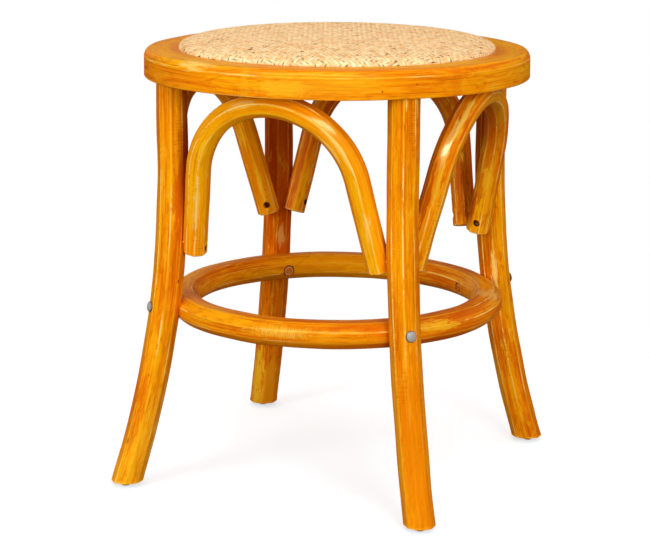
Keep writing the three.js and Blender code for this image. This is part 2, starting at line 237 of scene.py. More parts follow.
def maths(operation, *values):
    onVectors = any(isinstance(value, Wire) and value.socket.type == "VECTOR" for value in values)
    return wire("ShaderNodeVectorMath" if onVectors else "ShaderNodeMath", dict(enumerate(values)),
                1 if operation == "LENGTH" else 0, operation=operation)


def split(vector):
    return [Wire(socket) for socket in addNode("ShaderNodeSeparateXYZ", {"Vector": vector}).outputs]


def combined(**parts):
    return wire("ShaderNodeCombineXYZ", parts)


def distance(first, second):
    return maths("SQRT", first ** 2.0 + second ** 2.0)


def ranged(value, low, high, newLow, newHigh):
    return wire("ShaderNodeMapRange", {
        "Value": value, "From Min": low, "From Max": high, "To Min": newLow, "To Max": newHigh})


def step(value, low, high):
    # eases from 0 at low to 1 at high
    return wire("ShaderNodeMapRange", {"Value": value, "From Min": low, "From Max": high},
                interpolation_type="SMOOTHSTEP")


def objectPlace():
    return wire("ShaderNodeTexCoord", output="Object")


def attribute(name, output="Fac"):
    return wire("ShaderNodeAttribute", output=output, attribute_name=name)


def grainNoise(place, scales, detail=3.0, roughness=0.55, distortion=0.0):
    return wire("ShaderNodeTexNoise", {
        "Vector": place * scales, "Scale": 1.0, "Detail": detail, "Roughness": roughness,
        "Distortion": distortion}, "Fac")


def colour(tone):
    return tone if isinstance(tone, Wire) else (*tone, 1.0)


def blend(tone, amount, other):
    return wire("ShaderNodeMix", {0: amount, 6: colour(tone), 7: colour(other)}, 2, data_type="RGBA")


def layered(finish, base, coats):
    # the base tone under coats, each an amount and a tone
    tone = finish[base]
    for amount, kind in coats:
        tone = blend(tone, amount, finish[kind])
    return tone


def newTree(owner):
    # clears the nodes of a material or a world and starts to wire them
    owner.use_nodes = True
    owner.node_tree.nodes.clear()
    bench.update(owner=owner, tree=owner.node_tree)


def newMaterial(name):
    newTree(bpy.data.materials.new(name))


def finishMaterial(relief, strength, depth, surface):
    # surface gives the shader's own inputs
    bump = wire("ShaderNodeBump", {"Strength": strength, "Distance": depth, "Height": relief})
    shader = wire("ShaderNodeBsdfPrincipled", {"Normal": bump, **surface})
    addNode("ShaderNodeOutputMaterial", {"Surface": shader})
    return bench["owner"]


def geometryTree(name, inputs):
    tree = bench["tree"] = bpy.data.node_groups.new(name, "GeometryNodeTree")
    for label, kind in {"Geometry": "Geometry", **inputs}.items():
        tree.interface.new_socket(label, in_out="INPUT", socket_type=f"NodeSocket{kind}")
    tree.interface.new_socket("Geometry", in_out="OUTPUT", socket_type="NodeSocketGeometry")
    return {socket.name: Wire(socket) for socket in addNode("NodeGroupInput").outputs if socket.name}


def finishTree(geometry, surface):
    geometry = wire("GeometryNodeSetShadeSmooth", {"Geometry": geometry})
    real = wire("GeometryNodeRealizeInstances", {"Geometry": geometry})
    addNode("NodeGroupOutput", {0: wire("GeometryNodeSetMaterial", {"Geometry": real, "Material": surface})})
    return bench["tree"]


def meshToCurve(mesh):
    return wire("GeometryNodeMeshToCurve", {"Mesh": mesh})


def swept(path, section, girth=None):
    # a bar with closed ends, or without a girth a hoop
    bar = {} if girth is None else {"Scale": girth, "Fill Caps": True}
    return wire("GeometryNodeCurveToMesh", {"Curve": path, "Profile Curve": section, **bar})


def stored(geometry, name, value):
    kind = "FLOAT_VECTOR" if value.socket.type == "VECTOR" else "FLOAT"
    return wire("GeometryNodeStoreNamedAttribute", {"Geometry": geometry, "Name": name, "Value": value},
                data_type=kind, domain="POINT")


def recalled(name, kind="FLOAT"):
    return wire("GeometryNodeInputNamedAttribute", {"Name": name}, data_type=kind)


def grown(name, host, tree, values):
    # runs a node tree on a host mesh with these inputs, and gives the plain mesh
    piece = inScene(name, host)
    modifier = piece.modifiers.new("grow", "NODES")
    modifier.node_group = tree
    labels = {item.name: item.identifier for item in tree.interface.items_tree
              if item.item_type == "SOCKET" and item.in_out == "INPUT"}
    for label, value in values.items():
        modifier[labels[label]] = value
    mesh = evaluatedMesh(piece)
    bpy.data.meshes.remove(piece.data)
    mesh.name = name
    return mesh


# Stained wood

woodFinish = {
    "deep": (0.30, 0.034, 0.001),  # in the pores and the shaded hollows
    "russet": (0.65, 0.116, 0.001),  # where the stain ran thick, and in patches of painted shade
    "stain": (0.86, 0.245, 0.002),
    "amber": (0.98, 0.465, 0.003),  # where the stain lies thin
    "gold": (1.0, 0.600, 0.026),  # nearly wiped off, along the ridges, and in patches of painted highlight
    "rubAndHighlight": (1.0, 0.760, 0.230),  # rubbed through on the ridges, and in patches of painted highlight
    # painted shade: near black inside the screw pockets
    "hole": (0.05, 0.010, 0.002),
    "roughness": 0.34,
    "coat": 0.045,
    "ridgeWidth": 0.0012,
    "ridgeWear": 1.0,
    "mottle": 0.5,
    "streaks": 0.8,
    "wornFrom": 0.47,  # lower is worn more often along the ridges
}

scarf = {
    "place": math.radians(135),  # behind a leg
    "slope": 14.0,  # how far round, in radians, for each metre up
    "line": 0.0005,
    "tone": 0.7,
}


def hoopPlace(radius, middle):
    # place along the bent length of a hoop about Z: across, up, and round,
    # and 1 on the hairline of the slanted joint that closes the hoop
    x, y, z = split(objectPlace())
    across = distance(x, y) - radius
    turn = maths("MULTIPLY_ADD", z - middle, -scarf["slope"], scarf["place"] - math.pi)
    slant = maths("TANGENT", turn)
    turned = maths("ARCTAN2", y - x * slant, x + y * slant)
    away = (maths("ABSOLUTE", turned) - math.pi) * -radius
    return (combined(X=across, Y=z, Z=(turned + turn) * radius),
            step(away, scarf["line"], scarf["line"] * 0.3))


def hoopRidges(place, marks, width):
    # 1 on the marked (across, height) lines of a hoop
    across, height, _ = split(place)
    shown = 0.0
    for markAcross, markHeight, strength in marks:
        away = distance(across - markAcross, height - markHeight)
        shown = maths("MAXIMUM", step(away, width, width * 0.25) * strength, shown)
    return shown


def barRidges(place, across, width):
    # 1 on the eight ridges of a bar
    x, y, _ = split(place)
    away = maths("ABSOLUTE", maths("FRACT", maths("ARCTAN2", y, x) / eighthTurn) - 0.5)
    return step(away * (eighthTurn * across / 2), width, width * 0.2)


def patchMask(place, patch, broken):
    # 1 inside a patch, ragged unless it is a hole
    centre, size = (tuple(v * mm for v in patch[k:k + 3]) for k in (0, 3))
    away = maths("LENGTH", (place - centre) / size)
    if patch[6] == "hole":
        return step(away, 1.1, 0.95)
    return step(away + (broken - 0.5) * -3.0, 1.0, 0.55)


def stainedWood(name, seed, bar=None, hoop=None, marks=(), settings=None, patches=(), foot=None, ends=()):
    # bar is how wide an eight-sided bar is, hoop a hoop's radius and middle height and marks its ridges,
    # foot the height of a level foot and ends where along it a bar ends;
    # each patch is a place and a size in mm, a tone and how strong it is
    finish = {**woodFinish, **(settings or {})}
    newMaterial(name)
    if hoop:
        onPiece, joint = hoopPlace(*hoop)
        ridge = hoopRidges(onPiece, marks, finish["ridgeWidth"])
    else:
        onPiece = attribute("grainPlace", "Vector")
        ridge = barRidges(onPiece, bar, finish["ridgeWidth"])
        along = split(onPiece)[2]
        if "wornTo" in finish:
            ridge = ridge * ranged(along, finish["wornTo"], finish["wornTo"] + 0.04, 1.0, 0.25)
        for end in ends:
            ridge = maths("MAXIMUM", ridge, step(maths("ABSOLUTE", along - end), 0.0024, 0.0008))
        if foot:
            ridge = maths("MAXIMUM", ridge, step(split(objectPlace())[2], foot + 0.0028, foot + 0.0012))
    place = onPiece + (seed * 1.7, seed * 2.3, seed * 3.1)
    cloud = grainNoise(place, (38, 38, 7), 3.0, 0.5)
    streak = grainNoise(place, (330, 330, 8), 4.0, 0.6, 0.3)
    hair = grainNoise(place, (760, 760, 13), 4.0, 0.7)
    smear = grainNoise(place + (3.1, 5.7, 1.9), (130, 130, 30), 4.0, 0.65, 1.2)
    length = grainNoise(place + (8.1, 2.7, 4.9), (60, 60, 11), 2.0, 0.5)
    broken = grainNoise(place + (2.3, 6.1, 0.7), (400, 400, 60), 4.0, 0.7)
    ticks = grainNoise(place + (1.1, 9.7, 7.3), (60, 60, 1100), 1.0, 0.5)

    ticked = step(length, 0.60, 0.68) * 0.6
    for patch in patches:
        if patch[6] == "ticks":
            ticked = maths("MAXIMUM", ticked, patchMask(onPiece, patch, broken))
    cross = step(ticks, 0.50, 0.60) * ticked
    wear = ridge * finish["ridgeWear"]
    worn = step(length, finish["wornFrom"], finish["wornFrom"] + 0.08) * step(broken, 0.40, 0.52)

    # the stain, thinner in some streaks and deeper in others, wiped on unevenly
    body = streak * 0.45 + cloud * 0.55
    coats = [
        (step(body, 0.42, 0.62), "amber"),
        (step(body, 0.48, 0.34) * finish["streaks"], "russet"),
        (step(smear, 0.49, 0.37) * finish["mottle"], "russet"),
        (step(smear, 0.56, 0.67) * (0.8 * finish["mottle"]), "gold"),
        (step(hair, 0.47, 0.33) * 0.50, "deep"),
        (step(hair, 0.56, 0.68) * 0.45, "gold"),
        # painted shade where the shade attribute marks hollows, undersides and insides
        (attribute("shade") * 0.8, "deep"),
        # golden along the ridges, and rubbed through in long broken lines
        (wear * step(broken, 0.30, 0.55) * 0.65, "gold"),
        (wear * worn * 0.9, "rubAndHighlight"),
        # short scuffs
        (step(smear, 0.68, 0.74) * step(broken, 0.50, 0.60) * 0.8, "rubAndHighlight"),
    ]
    # marks of this piece's own, and patches of painted highlight and painted shade
    coats += [(patchMask(onPiece, patch, broken) * patch[7], patch[6]) for patch in patches if patch[6] != "ticks"]
    coats.append((cross * 0.36, "deep"))
    if hoop:
        coats.append((joint * scarf["tone"], "deep"))
    return finishMaterial(hair * 0.4 + streak * 0.8 - cross * 0.5, 0.22, 0.0005, {
        "Base Color": layered(finish, "stain", coats),
        "Roughness": ranged(streak, 0.3, 0.7, finish["roughness"] - 0.06, finish["roughness"] + 0.10),
        "Specular IOR Level": 0.16, "Specular Tint": (1.0, 0.66, 0.08, 1.0),
        "Coat Weight": finish["coat"], "Coat Roughness": 0.14})


def woodPiece(name, mesh, material, node, sharpAngle, shade):
    smoothShade(mesh, sharpAngle)
    setAttribute(mesh, "shade", shade)
    dress(inScene(name, mesh), material, node)


# Bent bars: a rounded eight-sided bar swept along a path by geometry nodes

def bentBarTree():
    given = geometryTree("bentBar", {"Across": "Float", "Ridge Round": "Float", "Surface": "Material"})
    path = wire("GeometryNodeSetCurveNormal", {
        "Curve": meshToCurve(given["Geometry"]), "Normal": recalled("sideways", "FLOAT_VECTOR")}, mode="FREE")
    section = wire("GeometryNodeCurvePrimitiveCircle", {
        "Resolution": 8, "Radius": given["Across"] / (2 * math.cos(eighthTurn / 2))})
    section = wire("GeometryNodeTransform", {"Geometry": section, "Rotation": (0, 0, eighthTurn / 2)})
    section = wire("GeometryNodeSubdivideCurve", {"Curve": section, "Cuts": 1})
    section = wire("GeometryNodeFilletCurve", {
        "Curve": section, "Count": 3, "Radius": given["Ridge Round"]}, mode="POLY")
    return finishTree(swept(path, section, recalled("girth")), given["Surface"])


barTree = bentBarTree()


def sweptBar(name, path, sideways, across, ridgeRound, material=None, girth=None):
    host = newMesh(name, path, edges=[(i, i + 1) for i in range(len(path) - 1)])
    setAttribute(host, "sideways", np.tile(sideways, (len(path), 1)))
    setAttribute(host, "girth", np.ones(len(path)) if girth is None else girth)
    mesh = grown(name, host, barTree, {"Across": across, "Ridge Round": ridgeRound, "Surface": material})
    mergeDoubles(mesh, 1e-6)
    outwardNormals(mesh)
    return mesh


def barPlaces(points, path, sideways):
    # each point's place in the straightened bar: two across, one along
    tangents = np.gradient(path, axis=0)
    tangents /= np.linalg.norm(tangents, axis=1)[:, None]
    lengths = np.concatenate([[0], np.cumsum(np.linalg.norm(np.diff(path, axis=0), axis=1))])
    nearest = np.concatenate([
        np.argmin(((chunk[:, None, :] - path[None]) ** 2).sum(2), axis=1)
        for chunk in np.array_split(points, max(1, len(points) // 2000))])
    away = points - path[nearest]
    tangent = tangents[nearest]
    side = np.tile(sideways, (len(points), 1))
    third = np.cross(tangent, side)
    return np.stack([(away * side).sum(1), (away * third).sum(1),
                     lengths[nearest] + (away * tangent).sum(1)], axis=1)


# Legs

leg = {
    "across": 0.030,
    "topRadius": 0.179,  # middle of the leg under the rim
    "sweep": 0.055,
    "bendHeight": 0.330,
    "bottom": 0.0050,  # the foot glide is below
    "ridgeRound": 0.0034,
    "footRound": 0.0018,
    "handMade": 0.0007,
    "shadeFrom": {"back_right": 0.155},  # height from which the inner faces get painted shade
    "finishes": {
        # painted shade: the back left leg, in the seat's shade, has a darker, redder stain
        "back_left": {"stain": (0.69, 0.140, 0.001), "amber": (0.92, 0.270, 0.002), "ridgeWear": 0.25,
                      "mottle": 0.8},
        "back_right": {"ridgeWear": 0.9, "mottle": 0.6},
        "front_right": {"stain": (0.80, 0.225, 0.001), "amber": (0.94, 0.385, 0.002), "mottle": 0.4,
                        "wornTo": 0.225}},
    # in mm: place across, across and along, size; then tone and strength
    "patches": {
        "front_right": [
            (4.5, 15.1, 30, 7, 7, 28, "ticks", 1.0), (-4, 15, 4, 1.2, 4, 12, "rubAndHighlight", 0.8),
            (9, 12, 10, 1.5, 4, 14, "rubAndHighlight", 0.8), (0, 15, 355, 30, 30, 110, "stain", 0.65),
            (-15, 2, 330, 4, 8, 110, "gold", 0.4), (12, 10, 330, 5, 5, 110, "gold", 0.4)],
        "front_left": [
            (15, -2, 50, 6, 7.5, 34, "ticks", 1.0), (7.3, 14.1, 379, 1.6, 1.6, 3, "deep", 0.9),
            (14.7, -6.7, 204, 1.2, 1.2, 2, "deep", 0.9), (0, 0, 395, 30, 30, 70, "gold", 0.3),
            # painted shade: the russet patch on the front left leg's right face, which is turned from the light
            (14, -5.6, 120, 10, 11.5, 46, "russet", 0.75), (14, -6, 355, 9, 11.5, 60, "gold", 0.3),
            (8.5, -13, 350, 5, 4, 60, "rubAndHighlight", 0.4)],
        "back_right": [
            (-14.4, -7.1, 218.6, 4, 4, 22, "rubAndHighlight", 0.7), (-15, -6.2, 345, 6, 6, 60, "amber", 0.6),
            (0, -15, 345, 10, 4, 60, "gold", 0.35)],
        "back_left": [
            (1, -15.1, 204.1, 6, 4, 14, "rubAndHighlight", 0.45), (0.3, -15.2, 373, 6, 4, 30, "gold", 0.6),
            (0, -15, 400, 20, 20, 70, "amber", 0.8), (0, -15, 400, 20, 20, 50, "gold", 0.3),
            (13, -6, 385, 7, 13, 55, "gold", 0.9)],
    },
}


def legRadius(height):
    drop = np.maximum(leg["bendHeight"] - height, 0) / leg["bendHeight"]
    return leg["topRadius"] + leg["sweep"] * drop ** 2


def legPath(outward, heights):
    return outward[None] * legRadius(heights)[:, None] + vertical[None] * heights[:, None]


def footCut(mesh, height, roundOff):
    # cuts the foot level and eases its edge
    with edited(mesh) as shape:
        bmesh.ops.bisect_plane(shape, geom=[*shape.verts, *shape.edges, *shape.faces], dist=1e-6,
                               plane_co=(0, 0, height), plane_no=(0, 0, -1), clear_outer=True)
        bmesh.ops.contextual_create(shape, geom=[edge for edge in shape.edges if edge.is_boundary])
        edges = [edge for edge in shape.edges if all(abs(v.co.z - height) < 1e-6 for v in edge.verts)]
        bmesh.ops.bevel(shape, geom=edges, offset=roundOff, segments=3, profile=0.6, affect="EDGES",
                        clamp_overlap=True)


def makeLeg(name, angle, seed):
    outward, sideways = axisFrame(angle)
    heights = np.linspace(stool["rimBottom"] - stool["fitGap"], -0.012, 150)
    path = legPath(outward, heights)
    material = stainedWood(f"stained_wood_leg_{name}", seed, bar=leg["across"],
                           settings=leg["finishes"].get(name), patches=leg["patches"].get(name, ()),
                           foot=leg["bottom"])
    mesh = sweptBar(f"leg_{name}", path, sideways, leg["across"], leg["ridgeRound"], material)
    footCut(mesh, leg["bottom"], leg["footRound"])
    points = pointsOf(mesh)
    eased = handMade(points, leg["handMade"], 0.045, seed)
    keep = np.clip((points[:, 2] - leg["bottom"]) / 0.01, 0, 1) * np.clip(
        (heights[0] - points[:, 2]) / 0.01, 0, 1)
    points += (eased - points) * keep[:, None]
    setPoints(mesh, points)
    outwardNormals(mesh)
    setAttribute(mesh, "grainPlace", barPlaces(points, path, sideways))
    # painted shade: darker on the inner faces, under the seat
    inward = np.clip(-(points @ outward - legRadius(points[:, 2])) / 0.012, 0, 1)
    under = np.clip((points[:, 2] - leg["shadeFrom"].get(name, 0.21)) / 0.12, 0, 1)
    woodPiece(f"stained_leg_{name}", mesh, material, f"leg_{name}", 50, inward * under)


for index, name in enumerate(cornerNames):
    makeLeg(name, cornerAngles[index], index + 1)
print("legs made")


def legCutter(angle):
    # a plain leg a little thicker than the real one, to notch what touches it
    outward, sideways = axisFrame(angle)
    return sweptBar("leg_cutter", legPath(outward, np.linspace(0.45, 0.02, 60)), sideways,
                    leg["across"] + 2 * stool["fitGap"], leg["ridgeRound"])


# Arches

arch = {
    "across": 0.024,
    "endSpan": 0.10253,  # half the distance between the arms' ends
    "rise": 0.16698,
    "bendRadius": 0.088,
    "lean": math.radians(12.686),
    "endReach": 0.12353,
    "endHeight": 0.247,
    "ridgeRound": 0.0044,
    "endRound": 0.0016,
    # how each one strays: turned in degrees, slid sideways and outward
    "stray": {"front": (0, -0.0012, -0.0010), "right": (1.5, 0.0005, 0.0005),
              "back": (0.9, 0.0012, -0.0005), "left": (1.2, 0.0002, 0.0005)},
    "handMade": 0.0006,
    "screwRise": 0.011,
    "screwTurn": math.radians(12),
    "pocketRadius": 0.0037,
    "pocketDepth": 0.007,
    "patches": {
        "front": [
            # the rub and gold patches on the front arch's outer face partly paint its highlights and partly its wear
            (-1, 11.9, 428.5, 2.2, 3, 3.6, "hole", 0.9), (-11.6, 5, 376, 3, 4, 34, "rubAndHighlight", 0.5),
            (-11.6, 4.4, 313, 5, 4, 16, "gold", 0.8), (-11.1, -6.2, 243.4, 4, 4, 20, "rubAndHighlight", 0.4),
            (-12.1, 4.6, 137.1, 3, 3, 16, "rubAndHighlight", 0.5), (-11.9, -4.3, 131, 3, 3, 30, "rubAndHighlight", 0.6),
            (-11.7, -4, 52, 4, 4, 22, "rubAndHighlight", 0.5)],
        "right": [
            # painted highlight: the gold and rub patches on the upper facet from 284 to 352 along; painted shade: the
            # russet patch inside the bend at 100
            (-5, -11.2, 284, 5, 4, 34, "gold", 0.8), (-5, -11.2, 284, 3, 3, 24, "rubAndHighlight", 0.4),
            (-2.8, -12, 308, 4.5, 3, 32, "rubAndHighlight", 0.5), (2, 11.8, 100, 9, 6, 90, "russet", 0.55),
            (-5.1, -11.3, 352, 3.5, 3, 30, "gold", 0.7), (2, -11.8, 368, 3.5, 3, 50, "russet", 0.9),
            (-11, -5.5, 400, 2, 2, 40, "gold", 0.7), (-4, 11.2, 68, 6, 4, 22, "gold", 0.6),
            (5.5, 10.8, 88, 1.8, 3, 16, "gold", 0.7), (6.4, 10, 28, 5, 4, 26, "russet", 0.9),
            (11.5, 5.2, 30, 5, 6, 40, "deep", 0.6)],
        "back": [
            # painted shade: the russet and deep patches on the inner face
            (12.2, 0, 56, 3.8, 4, 60, "russet", 0.7), (11.8, -2, 392, 5, 6, 50, "russet", 0.9),
            (10, -8, 392, 5, 5, 50, "deep", 0.6)],
        "left": [
            (5.2, 11.6, 405, 3, 3, 34, "gold", 0.7), (0, 12.2, 340, 3, 3, 24, "gold", 0.7)],
    },
    "finish": {"ridgeWear": 0.9, "mottle": 0.3, "streaks": 0.55, "wornFrom": 0.46, "coat": 0.16,
               "stain": (1.0, 0.320, 0.002), "amber": (1.0, 0.515, 0.003)},
    "finishes": {
        "front": {"mottle": 0.15, "streaks": 0.4, "stain": (1.0, 0.310, 0.002)},
        "right": {"mottle": 0.6, "streaks": 0.9, "stain": (1.0, 0.290, 0.002), "wornFrom": 0.42, "coat": 0.3},
        "back": {"mottle": 0.6, "streaks": 0.8, "stain": (1.0, 0.270, 0.002)},
        # painted light: a lighter stain for the left arch, whose inner arm is lit inside the stool
        "left": {"streaks": 0.3, "stain": (1.0, 0.370, 0.002), "amber": (1.0, 0.560, 0.005)}},
    "innerShade": {"front": 0.15, "right": 0.7, "back": 0.5, "left": 0.0},  # painted shade inside the bend
}


def archShape():
    # how far its arms splay, and the height of its bend's centre
    middle = arch["rise"] - arch["bendRadius"]
    reach = math.hypot(arch["endSpan"], middle)
    return math.atan2(arch["endSpan"], middle) - math.asin(arch["bendRadius"] / reach), middle


def archLocalPath():
    # the flat arch on X and Z, from one end to the other
    splay, middle = archShape()
    span, bendRadius, endRound = arch["endSpan"], arch["bendRadius"], arch["endRound"]
    arm = math.sqrt(span ** 2 + middle ** 2 - bendRadius ** 2)
    total = 2 * arm + bendRadius * (math.pi - 2 * splay)
    ends = np.array([0, 0.15, 0.5, 1.0, 1.7, 2.6, 3.6]) * endRound / 3.6
    along = np.concatenate([ends, np.linspace(endRound + 0.003, total - endRound - 0.003, 130), total - ends[::-1]])
    fromEnd = np.minimum(along, total - along)
    angle = splay + np.maximum(fromEnd - arm, 0) / bendRadius
    out = np.where(fromEnd < arm, span - fromEnd * math.sin(splay), bendRadius * np.cos(angle))
    up = np.where(fromEnd < arm, fromEnd * math.cos(splay), middle + bendRadius * np.sin(angle))
    inset = np.clip(1 - fromEnd / endRound, 0, 1)
    easing = endRound * (1 - np.sqrt(np.clip(1 - inset ** 2, 0, 1)))
    points = np.column_stack([np.where(along < total / 2, -out, out), 0 * out, up])
    return points, 1 - easing / (arch["across"] / 2)


def archPlacer(angle, stray=(0, 0, 0)):
    # from the flat arch to its leaning place on this side of the stool
    outward, sideways = axisFrame(angle + math.radians(stray[0]))
    up = vertical * math.cos(arch["lean"]) + outward * math.sin(arch["lean"])
    start = outward * (arch["endReach"] + stray[2]) + sideways * stray[1] + vertical * arch["endHeight"]
    return lambda points: start - np.outer(points[:, 0], sideways) + np.outer(points[:, 2], up), outward, -sideways, up


def makeArch(name, angle, seed):
    placed, _, right, up = archPlacer(angle, arch["stray"][name])
    local, girth = archLocalPath()
    path = placed(local)
    normal = np.cross(right, up)
    mesh = sweptBar(f"arch_{name}", path, normal, arch["across"], arch["ridgeRound"], girth=girth)
    points = handMade(pointsOf(mesh), arch["handMade"], 0.04, seed)
    # flattened where it meets the rim
    points[:, 2] = np.minimum(points[:, 2], stool["rimBottom"] - stool["fitGap"])
    setPoints(mesh, points)
    # notched by the legs, and drilled for the screws
    cutters = [legCutter(angle + turn) for turn in (-eighthTurn, eighthTurn)]
    placed, outward, right, up = archPlacer(angle)
    splay, _ = archShape()
    rise, turn = arch["screwRise"], arch["screwTurn"]
    holes = []
    for side in (-1, 1):
        middle = placed(np.array([[side * (arch["endSpan"] - rise * math.sin(splay)), 0, rise * math.cos(splay)]]))[0]
        facing = -side * math.cos(turn) * right - math.sin(turn) * outward
        depth = arch["across"] / 2 - arch["pocketDepth"] - 0.0031
        cutters.append(cylinderMesh(middle + facing * depth, facing, arch["pocketRadius"], 0.02))
        # a near-black patch of painted shade inside each pocket
        inside = barPlaces(np.array([middle + facing * (depth + 0.0035)]), path, normal)[0]
        holes.append((*(float(v) / mm for v in inside), 4.3, 4.3, 4.3, "hole", 1.0))
    mesh = drilled(mesh, cutters)
    mesh.name = f"arch_{name}"
    length = float(np.linalg.norm(np.diff(path, axis=0), axis=1).sum())
    material = stainedWood(f"stained_wood_arch_{name}", seed, bar=arch["across"],
                           settings={**arch["finish"], **arch["finishes"][name]},
                           patches=arch["patches"][name] + holes, ends=(0.0, length))
    places = barPlaces(pointsOf(mesh), path, normal)
    setAttribute(mesh, "grainPlace", places)
    # painted shade on the inner side of the bend, fading toward the arms' ends
    inBend = np.clip(places[:, 1] * 2 / arch["across"], 0, 1) * np.clip(
        np.minimum(places[:, 2], length - places[:, 2]) / 0.14, 0, 1)
    woodPiece(f"stained_arch_{name}", mesh, material, f"arch_brace_{name}", 50, arch["innerShade"][name] * inBend)


for index, name in enumerate(sideNames):
    makeArch(name, sideAngles[index], index + 11)
print("arches made")


# Hoops: a section carried round Z by geometry nodes

def bentHoopTree():
    given = geometryTree("bentHoop", {"Radius": "Float", "Steps": "Int", "Surface": "Material"})
    circle = wire("GeometryNodeCurvePrimitiveCircle", {"Resolution": given["Steps"], "Radius": given["Radius"]})
    return finishTree(swept(circle, meshToCurve(given["Geometry"])), given["Surface"])


hoopTree = bentHoopTree()


def sweptHoop(name, section, radius, steps, material):
    # section is a closed outline of (radius, height)
    count = len(section)
    host = newMesh(name, [(r - radius, z, 0) for r, z in section], edges=[(i, (i + 1) % count) for i in range(count)])
    mesh = grown(name, host, hoopTree, {"Radius": radius, "Steps": steps, "Surface": material})
    points = pointsOf(mesh)
    # the section's axes may come out downward or inside out
    target = sum(z for _, z in section) / count
    if abs(points[:, 2].mean() - target) > abs(points[:, 2].mean() + target):
        points[:, 2] *= -1
    flat = flatRadius(points)
    if abs(flat.mean() - np.mean([r for r, _ in section])) > 0.002:
        points[:, :2] *= ((2 * radius - flat) / flat)[:, None]
    setPoints(mesh, points)
    outwardNormals(mesh)
    return mesh


def arcPoints(centre, radius, start, end, steps):
    return [(centre[0] + radius * math.cos(a), centre[1] + radius * math.sin(a))
            for a in np.linspace(start, end, steps + 1)]


rim = {
    "middleRadius": 0.1825,
    "topRound": 0.0062,
    "step": 0.0005,  # the little step under the rounded edge
    "edgeRound": 0.0015,
    "innerRound": 0.0006,
    "steps": 288,
    "handMade": 0.0005,
    # screw holes: place out and up, radius and depth
    "boardScrew": (0.156, 0.412, 0.00355, 0.0131),
    "tenonScrew": (0.140, 0.427, 0.0038, 0.0143),
    "finish": {"stain": (0.95, 0.300, 0.002), "amber": (1.0, 0.530, 0.003), "mottle": 0.45,
               "streaks": 0.4, "coat": 0.02, "roughness": 0.38},
    "patches": [
        (17.5, 436, -225, 20, 16, 70, "gold", 0.25), (0, 450.5, 0, 20, 3, 1000, "gold", 0.25),
        # painted shade: the stain patch on the top front, which tones down its sheen
        (4, 450.5, -200, 14, 4, 100, "stain", 0.5), (17.5, 433, -259, 20, 9, 26, "gold", 0.45),
        (12, 447, -354, 8, 8, 24, "rubAndHighlight", 0.7), (17.5, 436, -295, 20, 30, 5, "gold", 0.25),
        (17.5, 436, -99, 20, 30, 7, "russet", 0.3), (17.5, 430.2, -171.2, 6, 0.9, 0.9, "deep", 0.9),
        (17.5, 436, -139.4, 6, 0.9, 0.9, "deep", 0.9)
    ],
}


def rimSection():
    r, low, top = stool["rimRadius"], stool["rimBottom"], stool["rimTop"]
    inner, ledge, ledgeTop = stool["rimInnerRadius"], stool["ledgeInnerRadius"], stool["ledgeTop"]
    edge, soft, lip, eased = rim["edgeRound"], rim["topRound"], rim["step"], rim["innerRound"]
    return [(ledge, low), (ledge + 0.012, low), (r - 0.012, low),
            *arcPoints((r - edge, low + edge), edge, -quarterTurn, 0, 4),
            *[(r, low + (top - low) * share) for share in (0.3, 0.5, 0.68)],
            *arcPoints((r - lip, top - soft - lip), lip, 0, quarterTurn, 3),
            *arcPoints((r - lip - soft, top - soft), soft, 0, quarterTurn, 10),
            (r - 0.014, top), (inner + 0.012, top),
            *arcPoints((inner + eased, top - eased), eased, quarterTurn, 2 * quarterTurn, 3),
            (inner, ledgeTop), (ledge, ledgeTop)]


def makeRim():
    middle = rim["middleRadius"]
    across = stool["rimRadius"] - middle
    marks = [(across, stool["rimTop"] - rim["topRound"] - rim["step"], 1.0),
             (across, stool["rimBottom"] + 0.0005, 0.6)]
    material = stainedWood("stained_wood_rim", 31, hoop=(middle, (stool["rimBottom"] + stool["rimTop"]) / 2),
                           marks=marks, settings=rim["finish"], patches=rim["patches"])
    mesh = sweptHoop("rim", rimSection(), middle, rim["steps"], material)
    points = pointsOf(mesh)
    outer = np.clip((flatRadius(points) - 0.170) / 0.01, 0, 1)
    points += (handMade(points, rim["handMade"], 0.05, 31) - points) * outer[:, None]
    setPoints(mesh, points)
    cutters = []
    for kind, angles in (("boardScrew", (np.arange(4) + 0.25) * quarterTurn), ("tenonScrew", cornerAngles)):
        out, up, radius, depth = rim[kind]
        for angle in angles:
            outward, _ = axisFrame(angle)
            facing = vertical if kind == "boardScrew" else outward
            cutters.append(cylinderMesh(outward * out + vertical * up, facing, radius, depth))
    mesh = drilled(mesh, cutters)
    # painted shade on the rim's inner wall and ledge, under the seat
    woodPiece("stained_rim", mesh, material, "seat_rim", 40, np.clip((0.166 - flatRadius(pointsOf(mesh))) / 0.01, 0, 1))


makeRim()
print("rim made")


ring = {
    "outerRadius": 0.17733,
    "width": 0.034,
    "thickness": 0.027,
    "middleHeight": 0.18324,
    "sideRound": 0.009,
    "topRound": 0.008,
    "ridgeRound": 0.008,
    "ridgeWorn": 0.85,
    "steps": 288,
    "handMade": 0.0006,
    "finish": {"stain": (0.85, 0.245, 0.002), "amber": (0.96, 0.450, 0.003)},
    "patches": [
        (17, 187, -238, 20, 9, 38, "ticks", 1.0), (17, 187, -238, 20, 7, 34, "gold", 0.65),
        (17, 187, -238, 20, 5, 28, "rubAndHighlight", 0.2), (4, 196, 31, 16, 10, 20, "rubAndHighlight", 0.5),
        # painted shade: the russet patch on the front, which tones down its light
        (15, 188, -84, 20, 7, 26, "gold", 0.8), (10, 183, -190, 20, 30, 110, "russet", 0.28),
        (-14, 183, 320, 16, 30, 130, "amber", 0.5)
    ],
    "boltHeight": 0.1873,  # where a bolt crosses the middle of its leg
    "boltTilt": math.radians(8.2),
    "pocketRadius": 0.00675,
    "pocketDepth": 0.008,
}


